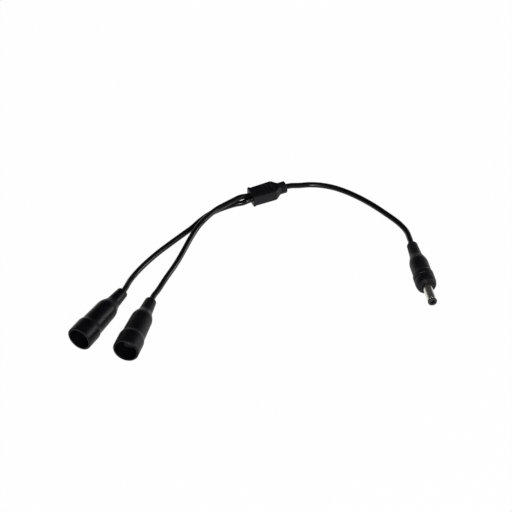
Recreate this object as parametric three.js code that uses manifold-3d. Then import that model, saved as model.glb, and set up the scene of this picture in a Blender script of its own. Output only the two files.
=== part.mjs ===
// Splitter cable for helmet lights: one barrel plug feeds two shrouded sockets through a moulded Y.
// Millimetres, +Z up. The cable lies on the plane z = 0 with its socket mouths towards -Y.
import * as THREE from 'three';
import { mergeVertices } from 'three/addons/utils/BufferGeometryUtils.js';
import Module from 'manifold-3d';

const wasm = await Module();
wasm.setup();

// Roundness of the turned pieces and of the wires
const turnedSides = 32;
const smallSides = 16;
const wireSides = 8;
const cornerSteps = 4;

// Clearances
const mouldGap = 0.2;
const slideGap = 0.15;
const solderGap = 0.2;
const cutOvershoot = 0.6;

// Cable and its two wires
const cableRadius = 1.7;
const wireRadius = 0.5;
const wireSpread = 0.62;
const cableSteps = 30;
const wireSteps = 14;

// Rounding of a boot's rear edge
const bootRounding = 0.8;

// Socket: outside, along its axis from the boot's rear face
const socketLength = 45.5;
const socketBootLength = 11;
const socketBootRearRadius = 3.4;
const socketBootFrontRadius = 4.2;
const socketShoulderLength = 5;
const socketShoulderRadius = 6.35;
const socketBodyRadius = 6.95;
const socketFlangeLength = 12.5;
const socketFlangeStep = 2.2;
const socketFlangeRadius = 7.7;
const socketRimRounding = 0.7;
const mouthRadius = 6.4;
const mouthDepth = 10;
const mouthChamfer = 0.35;

// Socket: the jack inside it
const jackRadius = 5.0;
const jackLength = 16;
const jackProud = 0.8;
const jackRearWall = 2;
const jackBoreRadius = 2.95;
const jackBoreLead = 0.35;
const pinRadius = 1.02;
const pinTail = 4.2;
const pinSetBack = 1.5;
const pinNose = 0.6;
const pinFlangeRadius = 1.8;
const pinFlangeThickness = 0.8;
const leafThickness = 0.35;
const leafWidth = 2.0;
const leafHeight = 3.9;
const leafReach = 2.78;
const leafLength = 16.6;
const leafTouch = 6;
const leafSamples = 18;
const slotHeadroom = 0.45;
const socketWireLead = 5;
const socketWireBend = 10.5;

// Plug: outside, along its axis from the boot's rear face
const plugBodyLength = 39.6;
const plugBootLength = 11.5;
const plugBootRearRadius = 3.2;
const plugBootFrontRadius = 3.8;
const bootRibCount = 3;
const bootRibPitch = 2.2;
const bootRibStart = 1.8;
const bootRibDepth = 0.35;
const bootRibShares = [0.15, 0.4, 0.55];
const plugShoulderLength = 6;
const plugBodyRadius = 5.7;
const plugGrooveStart = 23.2;
const plugGrooveWidth = 1.1;
const plugGrooveDepth = 0.45;
const plugCollarStart = 28.3;
const plugCollarStep = 1.0;
const plugCollarRadius = 6.25;
const plugNoseRadius = 5.75;
const plugNoseLength = 3.4;
const plugNoseRounding = 0.8;
const plugWireLead = 13.5;

// Plug: the contacts inside it
const barrelRadius = 2.75;
const barrelWall = 0.45;
const barrelReach = 12.7;
const sleeveDepth = 5.5;
const sleeveFlangeRadius = 3.8;
const sleeveFlangeThickness = 1.2;
const tipLength = 1.3;
const tipRadius = 2.7;
const tipEdge = 0.32;
const tipHoleRadius = 1.3;
const linerWall = 0.4;
const contactWall = 0.35;
const contactBoreRadius = 1.1;
const contactSetBack = 3;
const contactLength = 13;
const contactStemRadius = 1.0;
const contactStemLength = 7;
const lugThickness = 0.4;
const lugRadius = 3.6;
const lugHoleGap = 0.6;
const lugTailLength = 5;
const lugTailWidth = 1.8;
const lugTailHeight = 3.05;
const baseRadius = 2.8;
const baseThickness = 1.5;

// Splitter: outside, along its axis from the face with two cables
const splitterLength = 23.4;
const splitterWidth = 10;
const splitterHeight = 7.7;
const splitterBlockLength = 14.8;
const splitterSwell = 0.35;
const splitterShoulderLength = 5;
const splitterEdge = 0.9;
const neckRadius = 3.75;
const neckWaistRadius = 3.7;
const neckEdgeLength = 0.5;
const neckEdgeDepth = 0.3;
const neckOverlap = 4;
const lipLength = 1.3;
const lipProud = 0.4;
const gripRibCount = 3;
const gripRibFirst = 8.4;
const gripRibPitch = 2.9;
const gripRibRadius = 0.65;
const gripRibProud = 0.45;
const gripRibInset = 1.0;
const branchOffset = 1.75;

// Splitter: the joints inside it
const shrinkStart = 6.5;
const shrinkLength = 7.5;
const shrinkRadius = 1.6;
const shrinkWall = 0.3;
const shrinkOffset = 2.3;
const spliceRadius = 0.95;
const spliceLength = 3.3;
const spliceWireOffset = 0.58;
const crossingRise = 0.85;
const neckWireLead = 3.3;
const trunkWireSpread = 0.55;
const trunkWireDrop = 0.5;
const branchWireLead = 1;
const branchWireTurn = { before: 0.6, after: 0.5, share: 0.92, rise: 0.35 };

// Where the pieces lie: rear face centre or two-cable face centre, heading and upward tilt
const leftSocketPlace = { x: -78.3, y: -35.7, heading: -120.4, tilt: 2.5 };
const rightSocketPlace = { x: -61.65, y: -41.45, heading: -106.1, tilt: 6 };
const plugPlace = { x: 93.35, y: 5.85, heading: -80.4, tilt: 5.7 };
const splitterPlace = { x: -3.65, y: 47.5, heading: 24.3 };

// Moves the layout so that the origin is under the middle of the connectors
const layoutShift = new THREE.Vector3(1.08, 13.34, 0);

// Materials
const black = 0x0e0d10;
const overmould = new THREE.MeshStandardMaterial({ color: black, roughness: 0.45, metalness: 0 });
const jacket = new THREE.MeshStandardMaterial({ color: 0x0b0b0d, roughness: 0.35, metalness: 0 });
const insulator = new THREE.MeshStandardMaterial({ color: 0x151417, roughness: 0.55, metalness: 0 });
const nickel = new THREE.MeshStandardMaterial({ color: 0xc4c2ba, roughness: 0.25, metalness: 1 });
const redWire = new THREE.MeshStandardMaterial({ color: 0x8a1518, roughness: 0.5, metalness: 0 });
const blackWire = new THREE.MeshStandardMaterial({ color: 0x121214, roughness: 0.5, metalness: 0 });
const shrinkTube = new THREE.MeshStandardMaterial({ color: 0x18181b, roughness: 0.6, metalness: 0 });
const solder = new THREE.MeshStandardMaterial({ color: 0x9a9a98, roughness: 0.35, metalness: 1 });

// Turns a closed three.js geometry into a solid for cutting and joining
function toSolid(geometry) {
  const bare = geometry.index ? geometry.toNonIndexed() : geometry.clone();
  bare.deleteAttribute('normal');
  bare.deleteAttribute('uv');
  const merged = mergeVertices(bare, 1e-5);
  const vertProperties = new Float32Array(merged.attributes.position.array);
  const triVerts = new Uint32Array(merged.index.array);
  return new wasm.Manifold(new wasm.Mesh({ numProp: 3, vertProperties, triVerts }));
}

// Turns a solid back into a three.js geometry
function toGeometry(solid) {
  const mesh = solid.getMesh();
  const geometry = new THREE.BufferGeometry();
  geometry.setAttribute('position', new THREE.BufferAttribute(mesh.vertProperties, 3));
  geometry.setIndex(new THREE.BufferAttribute(mesh.triVerts, 1));
  geometry.computeVertexNormals();
  return geometry;
}

// Revolves a list of [distance along the axis, radius] about the local X axis
function turned(profile, sides = turnedSides) {
  const points = profile.map(([along, radius]) => new THREE.Vector2(radius, along));
  const geometry = new THREE.LatheGeometry(points, sides);
  geometry.rotateZ(-Math.PI / 2);
  return geometry;
}

// A plain rod between two stations on the local X axis
function rod(from, to, radius, sides = smallSides) {
  return turned([[from, 0], [from, radius], [to, radius], [to, 0]], sides);
}

// A tube between two stations, with its section closed on itself
function hollow(from, to, inner, outer, sides = smallSides) {
  return turned([[from, inner], [from, outer], [to, outer], [to, inner], [from, inner]], sides);
}

// A box given by its lowest and highest corner
function block(low, high) {
  const geometry = new THREE.BoxGeometry(high[0] - low[0], high[1] - low[1], high[2] - low[2]);
  geometry.translate((low[0] + high[0]) / 2, (low[1] + high[1]) / 2, (low[2] + high[2]) / 2);
  return geometry;
}

// A round section swept along a smooth curve through the points
function sweep(points, radius, steps, sides = wireSides) {
  const vectors = points.map((point) => new THREE.Vector3(...point));
  const curve = new THREE.CatmullRomCurve3(vectors, false, 'centripetal');
  const outline = [];
  for (let side = 0; side < sides; side += 1) {
    const angle = (side / sides) * 2 * Math.PI;
    outline.push(new THREE.Vector2(radius * Math.cos(angle), radius * Math.sin(angle)));
  }
  const settings = { steps, extrudePath: curve, bevelEnabled: false };
  return new THREE.ExtrudeGeometry(new THREE.Shape(outline), settings);
}

// Carries a wire's route past both of its ends, so that its channel opens there
function extended(points, distance) {
  const vectors = points.map((point) => new THREE.Vector3(...point));
  const last = vectors.length - 1;
  const backwards = vectors[0].clone().sub(vectors[1]).setLength(distance);
  const forwards = vectors[last].clone().sub(vectors[last - 1]).setLength(distance);
  const start = vectors[0].clone().add(backwards);
  const finish = vectors[last].clone().add(forwards);
  return [start, ...vectors, finish].map((vector) => vector.toArray());
}

// Points of a quarter arc between two corners of a profile, bulging outwards or hollow
function roundedCorner(from, to, bulging) {
  const points = [];
  for (let step = 0; step <= cornerSteps; step += 1) {
    const angle = (step / cornerSteps) * (Math.PI / 2);
    const along = bulging ? Math.sin(angle) : 1 - Math.cos(angle);
    const out = bulging ? 1 - Math.cos(angle) : Math.sin(angle);
    points.push([from[0] + (to[0] - from[0]) * along, from[1] + (to[1] - from[1]) * out]);
  }
  return points;
}

// Points of a smooth step between two radii
function smoothStep(from, to) {
  const points = [];
  const steps = 2 * cornerSteps;
  for (let step = 0; step <= steps; step += 1) {
    const share = step / steps;
    const rise = (1 - Math.cos(share * Math.PI)) / 2;
    points.push([from[0] + (to[0] - from[0]) * share, from[1] + (to[1] - from[1]) * rise]);
  }
  return points;
}

function named(name, geometry, material) {
  const mesh = new THREE.Mesh(geometry, material);
  mesh.name = name;
  return mesh;
}

// Height of the axis at the rear face that lets a tilted turned piece touch the plane z = 0
function restingHeight(profile, tilt) {
  const angle = THREE.MathUtils.degToRad(tilt);
  return Math.max(...profile.map(([along, radius]) => radius * Math.cos(angle) - along * Math.sin(angle)));
}

function lay(group, place, height) {
  group.rotation.order = 'ZYX';
  group.rotation.z = THREE.MathUtils.degToRad(place.heading);
  group.rotation.y = -THREE.MathUtils.degToRad(place.tilt ?? 0);
  group.position.set(place.x, place.y, height).add(layoutShift);
  return group;
}

// Socket stations that several pieces share
const recessFloor = socketLength - mouthDepth;
const jackFront = recessFloor + jackProud;
const jackRear = jackFront - jackLength;
const boreFloor = jackRear + jackRearWall;
const tailEnd = jackRear - pinTail;
const slotTop = leafHeight + slotHeadroom;

function socketOutline() {
  const shoulderEnd = socketBootLength + socketShoulderLength;
  const flangeStart = socketLength - socketFlangeLength;
  return [
    [0, 0],
    ...roundedCorner([0, socketBootRearRadius - bootRounding], [bootRounding, socketBootRearRadius], false),
    ...smoothStep([socketBootLength, socketBootFrontRadius], [shoulderEnd, socketShoulderRadius]),
    ...smoothStep([flangeStart, socketBodyRadius], [flangeStart + socketFlangeStep, socketFlangeRadius]),
    [socketLength - socketRimRounding, socketFlangeRadius],
    ...roundedCorner(
      [socketLength - socketRimRounding, socketFlangeRadius],
      [socketLength, socketFlangeRadius - socketRimRounding],
      true,
    ).slice(1),
    [socketLength, 0],
  ];
}

function socketWireRoutes() {
  const wireEnd = tailEnd - solderGap;
  return {
    positive: [
      [0, 0, -wireSpread],
      [socketWireLead, 0, -wireSpread],
      [socketWireBend, 0, -wireSpread / 2],
      [wireEnd, 0, 0],
    ],
    negative: [
      [0, 0, wireSpread],
      [socketWireLead, 0, wireSpread],
      [(socketWireLead + wireEnd) / 2, 0, (wireSpread + leafHeight) / 2],
      [wireEnd, 0, leafHeight],
    ],
  };
}

function leafOutline() {
  const half = leafThickness / 2;
  const start = tailEnd;
  const contact = boreFloor + leafTouch;
  const finish = start + leafLength;
  const line = new THREE.CatmullRomCurve3([
    new THREE.Vector3(start, leafHeight, 0),
    new THREE.Vector3(boreFloor, leafHeight, 0),
    new THREE.Vector3(contact, leafReach + half, 0),
    new THREE.Vector3(finish, leafHeight - 2 * half, 0),
  ], false, 'centripetal');
  const samples = line.getPoints(leafSamples);
  const upper = samples.map((point) => new THREE.Vector2(point.x, point.y + half));
  const lower = samples.map((point) => new THREE.Vector2(point.x, point.y - half));
  return new THREE.Shape([...lower, ...upper.reverse()]);
}

function jackInsulatorGeometry() {
  const bored = turned([
    [jackRear, 0],
    [jackRear, jackRadius],
    [jackFront - jackBoreLead, jackRadius],
    [jackFront, jackRadius - jackBoreLead],
    [jackFront, jackBoreRadius + jackBoreLead],
    [jackFront - jackBoreLead, jackBoreRadius],
    [boreFloor, jackBoreRadius],
    [boreFloor, 0],
  ]);
  const pinHole = rod(jackRear - cutOvershoot, boreFloor + cutOvershoot, pinRadius + slideGap);
  const half = leafWidth / 2 + slideGap;
  const slot = block(
    [jackRear - cutOvershoot, -half, leafReach - cutOvershoot],
    [tailEnd + leafLength + mouldGap, half, slotTop],
  );
  return toGeometry(toSolid(bored).subtract(toSolid(pinHole)).subtract(toSolid(slot)));
}

function pinGeometry() {
  const front = jackFront - pinSetBack;
  const flangeStart = boreFloor + slideGap;
  return turned([
    [tailEnd, 0],
    [tailEnd, pinRadius],
    [flangeStart, pinRadius],
    [flangeStart, pinFlangeRadius],
    [flangeStart + pinFlangeThickness, pinFlangeRadius],
    [flangeStart + pinFlangeThickness, pinRadius],
    ...roundedCorner([front - pinNose, pinRadius], [front, pinRadius - pinNose], true),
    [front, 0],
  ], smallSides);
}

function leafGeometry() {
  const geometry = new THREE.ExtrudeGeometry(leafOutline(), { depth: leafWidth, bevelEnabled: false });
  geometry.translate(0, 0, -leafWidth / 2);
  geometry.rotateX(Math.PI / 2);
  return geometry;
}

function socketHousingGeometry(routes) {
  const outer = toSolid(turned(socketOutline()));
  const mouth = turned([
    [recessFloor, 0],
    [recessFloor, mouthRadius],
    [socketLength - mouthChamfer, mouthRadius],
    [socketLength, mouthRadius + mouthChamfer],
    [socketLength + cutOvershoot, mouthRadius + mouthChamfer],
    [socketLength + cutOvershoot, 0],
  ]);
  const seat = rod(jackRear - mouldGap, recessFloor + cutOvershoot, jackRadius + mouldGap, turnedSides);
  const pinPocket = rod(tailEnd - solderGap, jackRear, pinRadius + mouldGap);
  const half = leafWidth / 2 + mouldGap;
  const rise = leafThickness / 2 + mouldGap;
  const tagPocket = block(
    [tailEnd - solderGap, -half, leafHeight - rise],
    [jackRear, half, leafHeight + rise],
  );
  const channels = [routes.positive, routes.negative]
    .map((route) => toSolid(sweep(extended(route, cutOvershoot), wireRadius + mouldGap, wireSteps)));
  return toGeometry([mouth, seat, pinPocket, tagPocket]
    .map(toSolid)
    .concat(channels)
    .reduce((solid, cut) => solid.subtract(cut), outer));
}

function makeSocket(prefix, place) {
  const group = new THREE.Group();
  const routes = socketWireRoutes();
  group.add(named(`${prefix}_housing`, socketHousingGeometry(routes), overmould));
  group.add(named(`${prefix}_insulator`, jackInsulatorGeometry(), insulator));
  group.add(named(`${prefix}_centre_pin`, pinGeometry(), nickel));
  group.add(named(`${prefix}_leaf_contact`, leafGeometry(), nickel));
  group.add(named(`${prefix}_positive_wire`, sweep(routes.positive, wireRadius, wireSteps), redWire));
  group.add(named(`${prefix}_negative_wire`, sweep(routes.negative, wireRadius, wireSteps), blackWire));
  return lay(group, place, restingHeight(socketOutline(), place.tilt));
}

// Plug stations that several pieces share
const sleeveRear = plugBodyLength - sleeveDepth;
const sleeveFront = plugBodyLength + barrelReach;
const tipFront = sleeveFront + tipLength;
const lugFront = sleeveRear - mouldGap;
const lugRear = lugFront - lugThickness;
const baseFront = lugRear - mouldGap;
const baseRear = baseFront - baseThickness;
const contactFront = tipFront - contactSetBack;
const contactRear = contactFront - contactLength;
const stemRear = contactRear - contactStemLength;
const lugTailRear = lugRear - lugTailLength;
const barrelBore = barrelRadius - barrelWall;
const linerRadius = barrelBore - slideGap;
const contactRadius = contactBoreRadius + contactWall;

function plugOutline() {
  const shoulderEnd = plugBootLength + plugShoulderLength;
  const ribs = [];
  const [down, up, end] = bootRibShares;
  const slope = (plugBootFrontRadius - plugBootRearRadius) / plugBootLength;
  for (let rib = 0; rib < bootRibCount; rib += 1) {
    const start = bootRibStart + rib * bootRibPitch;
    const radius = plugBootRearRadius + start * slope;
    ribs.push([start, radius]);
    ribs.push([start + bootRibPitch * down, radius - bootRibDepth]);
    ribs.push([start + bootRibPitch * up, radius - bootRibDepth]);
    ribs.push([start + bootRibPitch * end, radius + bootRibPitch * end * slope]);
  }
  const grooveFloor = plugBodyRadius - plugGrooveDepth;
  const grooveEdge = plugGrooveDepth / 2;
  const noseStart = plugBodyLength - plugNoseLength;
  return [
    [0, 0],
    ...roundedCorner([0, plugBootRearRadius - bootRounding], [bootRounding, plugBootRearRadius], false),
    ...ribs,
    ...smoothStep([plugBootLength, plugBootFrontRadius], [shoulderEnd, plugBodyRadius]),
    [plugGrooveStart, plugBodyRadius],
    [plugGrooveStart + grooveEdge, grooveFloor],
    [plugGrooveStart + plugGrooveWidth - grooveEdge, grooveFloor],
    [plugGrooveStart + plugGrooveWidth, plugBodyRadius],
    ...smoothStep([plugCollarStart, plugBodyRadius], [plugCollarStart + plugCollarStep, plugCollarRadius]),
    [noseStart, plugCollarRadius],
    [plugBodyLength - plugNoseRounding, plugNoseRadius],
    ...roundedCorner(
      [plugBodyLength - plugNoseRounding, plugNoseRadius],
      [plugBodyLength, plugNoseRadius - plugNoseRounding],
      true,
    ).slice(1),
    [plugBodyLength, 0],
  ];
}

function plugWireRoutes() {
  const positiveEnd = stemRear - solderGap;
  const negativeEnd = lugTailRear - solderGap;
  const tail = lugTailHeight + lugThickness / 2;
  return {
    positive: [
      [0, 0, -wireSpread],
      [plugWireLead, 0, -wireSpread],
      [(plugWireLead + positiveEnd) / 2, 0, -wireSpread / 2],
      [positiveEnd, 0, 0],
    ],
    negative: [
      [0, 0, wireSpread],
      [plugWireLead, 0, wireSpread],
      [(plugWireLead + negativeEnd) / 2, 0, (wireSpread + tail) / 2],
      [negativeEnd, 0, tail],
    ],
  };
}

function sleeveGeometry() {
  return turned([
    [sleeveRear, barrelBore],
    [sleeveRear, sleeveFlangeRadius],
    [sleeveRear + sleeveFlangeThickness, sleeveFlangeRadius],
    [sleeveRear + sleeveFlangeThickness, barrelRadius],
    [sleeveFront - barrelWall / 2, barrelRadius],
    [sleeveFront, barrelRadius - barrelWall / 2],
    [sleeveFront, barrelBore],
    [sleeveRear, barrelBore],
  ], turnedSides);
}

function tipInsulatorGeometry() {
  const start = sleeveFront + slideGap;
  const linerRear = contactRear + contactWall;
  const linerBore = linerRadius - linerWall;
  return turned([
    [linerRear, linerBore],
    [linerRear, linerRadius],
    [start, linerRadius],
    [start, tipRadius],
    [tipFront - tipEdge, tipRadius],
    [tipFront, tipRadius - tipEdge],
    [tipFront, tipHoleRadius],
    [contactFront + slideGap, tipHoleRadius],
    [contactFront + slideGap, linerBore],
    [linerRear, linerBore],
  ], turnedSides);
}

function centreContactGeometry() {
  return turned([
    [stemRear, 0],
    [stemRear, contactStemRadius],
    [contactRear, contactStemRadius],
    [contactRear, contactRadius],
    [contactFront, contactRadius],
    [contactFront, contactBoreRadius],
    [contactRear + contactWall, contactBoreRadius],
    [contactRear + contactWall, 0],
  ], smallSides);
}

function sleeveLugGeometry() {
  const ring = toSolid(hollow(lugRear, lugFront, contactStemRadius + lugHoleGap, lugRadius));
  const half = lugTailWidth / 2;
  const tail = block(
    [lugTailRear, -half, lugTailHeight],
    [lugRear + lugThickness / 2, half, lugTailHeight + lugThickness],
  );
  return toGeometry(ring.add(toSolid(tail)));
}

function baseInsulatorGeometry() {
  return hollow(baseRear, baseFront, contactStemRadius + slideGap, baseRadius);
}

function plugHousingGeometry(routes) {
  const outer = toSolid(turned(plugOutline()));
  const flangeFront = sleeveRear + sleeveFlangeThickness + mouldGap;
  const flangeSeat = rod(lugRear - mouldGap, flangeFront, sleeveFlangeRadius + mouldGap, turnedSides);
  const barrelHole = rod(sleeveRear, plugBodyLength + cutOvershoot, barrelRadius + slideGap, turnedSides);
  const baseSeat = rod(baseRear - mouldGap, lugRear, baseRadius + mouldGap);
  const stemPocket = rod(stemRear - solderGap, baseRear, contactStemRadius + mouldGap);
  const half = lugTailWidth / 2 + mouldGap;
  const tailPocket = block(
    [lugTailRear - solderGap, -half, lugTailHeight - mouldGap],
    [lugRear, half, lugTailHeight + lugThickness + mouldGap],
  );
  const channels = [routes.positive, routes.negative]
    .map((route) => toSolid(sweep(extended(route, cutOvershoot), wireRadius + mouldGap, wireSteps)));
  return toGeometry([flangeSeat, barrelHole, baseSeat, stemPocket, tailPocket]
    .map(toSolid)
    .concat(channels)
    .reduce((solid, cut) => solid.subtract(cut), outer));
}

function makePlug(place) {
  const group = new THREE.Group();
  const routes = plugWireRoutes();
  group.add(named('plug_housing', plugHousingGeometry(routes), overmould));
  group.add(named('plug_barrel_sleeve', sleeveGeometry(), nickel));
  group.add(named('plug_tip_insulator', tipInsulatorGeometry(), insulator));
  group.add(named('plug_centre_contact', centreContactGeometry(), nickel));
  group.add(named('plug_sleeve_lug', sleeveLugGeometry(), nickel));
  group.add(named('plug_base_insulator', baseInsulatorGeometry(), insulator));
  group.add(named('plug_positive_wire', sweep(routes.positive, wireRadius, wireSteps), redWire));
  group.add(named('plug_negative_wire', sweep(routes.negative, wireRadius, wireSteps), blackWire));
  return lay(group, place, restingHeight(plugOutline(), place.tilt));
}

// Splitter stations that several pieces share
const spliceMiddle = shrinkStart + shrinkLength / 2;
const branchWireEnd = spliceMiddle - spliceLength / 2 - solderGap;
const trunkWireEnd = spliceMiddle + spliceLength / 2 + solderGap;
const shrinkEnd = shrinkStart + shrinkLength;

function splitterBlockGeometry() {
  const half = splitterWidth / 2;
  const shoulderEnd = splitterBlockLength + splitterShoulderLength;
  const edge = splitterEdge;
  const shape = new THREE.Shape();
  shape.moveTo(edge, -half + edge);
  shape.lineTo(splitterBlockLength, -half - splitterSwell + edge);
  shape.quadraticCurveTo(shoulderEnd - edge, -half + edge, shoulderEnd - edge, -neckWaistRadius + edge);
  shape.lineTo(shoulderEnd - edge, neckWaistRadius - edge);
  shape.quadraticCurveTo(shoulderEnd - edge, half - edge, splitterBlockLength, half + splitterSwell - edge);
  shape.lineTo(edge, half - edge);
  shape.closePath();
  const geometry = new THREE.ExtrudeGeometry(shape, {
    depth: splitterHeight - 2 * edge,
    bevelThickness: edge,
    bevelSize: edge,
    bevelSegments: 3,
    curveSegments: 6,
  });
  geometry.translate(0, 0, edge - splitterHeight / 2);
  return geometry;
}

function lipGeometry() {
  const half = splitterWidth / 2 + lipProud;
  const low = -splitterHeight / 2;
  const high = splitterHeight / 2 + lipProud;
  const edge = splitterEdge;
  const shape = new THREE.Shape();
  shape.moveTo(-half, low);
  shape.lineTo(half, low);
  shape.lineTo(half, high - edge);
  shape.quadraticCurveTo(half, high, half - edge, high);
  shape.lineTo(-half + edge, high);
  shape.quadraticCurveTo(-half, high, -half, high - edge);
  shape.closePath();
  const settings = { depth: lipLength, bevelEnabled: false, curveSegments: 5 };
  const geometry = new THREE.ExtrudeGeometry(shape, settings);
  geometry.rotateZ(Math.PI / 2);
  geometry.rotateY(Math.PI / 2);
  return geometry;
}

function gripRibGeometry(station) {
  const length = splitterWidth - 2 * gripRibInset;
  const geometry = new THREE.CapsuleGeometry(gripRibRadius, length - 2 * gripRibRadius, 4, 12);
  geometry.translate(station, 0, splitterHeight / 2 + gripRibProud - gripRibRadius);
  return geometry;
}

function neckGeometry() {
  const shoulderEnd = splitterBlockLength + splitterShoulderLength;
  return turned([
    [shoulderEnd - neckOverlap, 0],
    [shoulderEnd - neckOverlap, neckWaistRadius],
    [shoulderEnd, neckWaistRadius],
    [splitterLength - neckEdgeLength, neckRadius],
    [splitterLength, neckRadius - neckEdgeDepth],
    [splitterLength, 0],
  ], turnedSides);
}

// Routes of the splitter's six wires: side is +1 for positive and -1 for negative
function trunkWireRoute(side) {
  const neckWire = splitterLength - neckWireLead;
  const middle = (neckWire + shrinkEnd) / 2;
  return [
    [splitterLength, 0, side * wireSpread],
    [neckWire, 0, side * wireSpread],
    [middle, side * shrinkOffset * trunkWireSpread, side * wireSpread * trunkWireDrop],
    [shrinkEnd, side * shrinkOffset, 0],
    [trunkWireEnd, side * shrinkOffset, 0],
  ];
}

function branchWireRoute(side, branch) {
  const start = branch * branchOffset;
  const crosses = side !== branch;
  const finish = side * shrinkOffset + branch * spliceWireOffset;
  const middle = shrinkStart / 2;
  const turn = branchWireTurn;
  return [
    [0, start, side * wireSpread],
    [branchWireLead, start, side * wireSpread],
    [middle, (start + finish) / 2, side * (crosses ? crossingRise : wireSpread)],
    [shrinkStart - turn.before, start + (finish - start) * turn.share, side * wireSpread * turn.rise],
    [shrinkStart + turn.after, finish, 0],
    [branchWireEnd, finish, 0],
  ];
}

function splitterHousingGeometry(routes) {
  let solid = toSolid(splitterBlockGeometry()).add(toSolid(neckGeometry())).add(toSolid(lipGeometry()));
  for (let rib = 0; rib < gripRibCount; rib += 1) {
    solid = solid.add(toSolid(gripRibGeometry(gripRibFirst + rib * gripRibPitch)));
  }
  for (const side of [1, -1]) {
    const pocket = rod(shrinkStart - mouldGap, shrinkEnd + mouldGap, shrinkRadius + mouldGap);
    pocket.translate(0, side * shrinkOffset, 0);
    solid = solid.subtract(toSolid(pocket));
  }
  for (const route of routes) {
    solid = solid.subtract(toSolid(sweep(extended(route, cutOvershoot), wireRadius + mouldGap, wireSteps)));
  }
  return toGeometry(solid);
}

function makeSplitter(place) {
  const group = new THREE.Group();
  const wires = [
    ['splitter_trunk_positive_wire', trunkWireRoute(1), redWire],
    ['splitter_trunk_negative_wire', trunkWireRoute(-1), blackWire],
    ['splitter_left_positive_wire', branchWireRoute(1, -1), redWire],
    ['splitter_left_negative_wire', branchWireRoute(-1, -1), blackWire],
    ['splitter_right_positive_wire', branchWireRoute(1, 1), redWire],
    ['splitter_right_negative_wire', branchWireRoute(-1, 1), blackWire],
  ];
  group.add(named('splitter_housing', splitterHousingGeometry(wires.map(([, route]) => route)), overmould));
  for (const [name, route, material] of wires) {
    group.add(named(name, sweep(route, wireRadius, wireSteps), material));
  }
  for (const [sign, side] of [['positive', 1], ['negative', -1]]) {
    const splice = rod(spliceMiddle - spliceLength / 2, spliceMiddle + spliceLength / 2, spliceRadius);
    const shrink = hollow(shrinkStart, shrinkEnd, shrinkRadius - shrinkWall, shrinkRadius);
    splice.translate(0, side * shrinkOffset, 0);
    shrink.translate(0, side * shrinkOffset, 0);
    group.add(named(`splitter_${sign}_splice`, splice, solder));
    group.add(named(`splitter_${sign}_shrink_tube`, shrink, shrinkTube));
  }
  return lay(group, place, splitterHeight / 2);
}

// Cable routes, chosen by hand from the photograph, before the layout is shifted
const trunkRoute = [
  [18.12, 57.32, 3.85], [21.4, 58.4, 3.6], [26.8, 59.7, 2.6], [33.0, 61.1, 1.9], [40.4, 60.7, 1.75],
  [48.1, 58.5, 1.75], [55.7, 54.7, 1.75], [63.7, 49.3, 1.75], [71.4, 42.9, 1.75], [79.1, 35.3, 1.75],
  [86.6, 27.0, 1.75], [90.8, 19.6, 2.1], [92.5, 11.5, 3.15], [93.3, 6.15, 3.9],
];
const leftRoute = [
  [-3.46, 45.64, 3.85], [-5.6, 44.85, 3.4], [-8.6, 44.3, 2.0], [-12.4, 43.8, 1.75], [-19.3, 40.9, 1.75],
  [-25.4, 37.4, 1.75], [-30.4, 33.3, 1.75], [-34.6, 28.7, 1.75], [-39.2, 22.8, 1.75], [-43.9, 17.8, 1.75],
  [-51.6, 9.6, 1.75], [-59.2, 1.2, 1.75], [-66.4, -8.0, 1.75], [-71.4, -16.3, 2.4], [-74.7, -24.2, 3.9],
  [-76.6, -31.2, 5.6], [-78.05, -35.27, 6.12],
];
const rightRoute = [
  [-4.9, 48.83, 3.85], [-7.2, 47.75, 4.55], [-10.1, 46.0, 5.35], [-15.2, 42.4, 5.4], [-19.3, 39.3, 5.4],
  [-23.8, 35.8, 5.4], [-27.8, 31.5, 5.3], [-31.9, 26.5, 4.8], [-35.5, 21.6, 3.8], [-39.6, 13.5, 2.6],
  [-43.4, 4.0, 1.8], [-47.9, -7.6, 1.75], [-54.0, -20.8, 1.85], [-57.8, -30.7, 2.9], [-60.2, -36.5, 4.0],
  [-61.57, -41.16, 4.61],
];

function makeCable(name, route) {
  const shifted = route.map(([x, y, z]) => [x + layoutShift.x, y + layoutShift.y, z]);
  return named(name, sweep(shifted, cableRadius, cableSteps), jacket);
}

const part = new THREE.Group();
part.add(makePlug(plugPlace));
part.add(makeSplitter(splitterPlace));
part.add(makeSocket('left_socket', leftSocketPlace));
part.add(makeSocket('right_socket', rightSocketPlace));
part.add(makeCable('trunk_cable', trunkRoute));
part.add(makeCable('left_branch_cable', leftRoute));
part.add(makeCable('right_branch_cable', rightRoute));

export default part;
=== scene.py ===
import math

import bpy
import numpy as np
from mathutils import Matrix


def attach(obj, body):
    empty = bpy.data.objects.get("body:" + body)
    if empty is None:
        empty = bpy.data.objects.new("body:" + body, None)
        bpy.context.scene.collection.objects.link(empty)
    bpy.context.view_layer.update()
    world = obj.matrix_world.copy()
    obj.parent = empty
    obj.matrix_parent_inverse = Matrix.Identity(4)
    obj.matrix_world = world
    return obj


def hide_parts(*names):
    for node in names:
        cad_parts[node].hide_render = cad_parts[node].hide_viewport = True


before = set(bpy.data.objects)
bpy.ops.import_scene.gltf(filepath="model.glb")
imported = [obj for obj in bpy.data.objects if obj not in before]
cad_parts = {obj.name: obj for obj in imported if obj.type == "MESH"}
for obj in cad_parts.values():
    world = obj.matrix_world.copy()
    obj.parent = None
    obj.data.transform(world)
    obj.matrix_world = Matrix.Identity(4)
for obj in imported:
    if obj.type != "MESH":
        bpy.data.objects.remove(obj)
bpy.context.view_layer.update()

mm = 0.001  # the sizes below are millimetres, the scene is in metres
scene = bpy.context.scene
body = "root"
nearAxis = 0.02  # the last ring of a solid end, before its pole

# the camera: it looks down at 45 degrees from far off, so the cable is drawn almost without perspective
view = dict(target=(0.78, 13.55, 0.21), elevation=45.0, distance=1200.0, focalPixels=2000.0, imagePixels=512)


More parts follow.
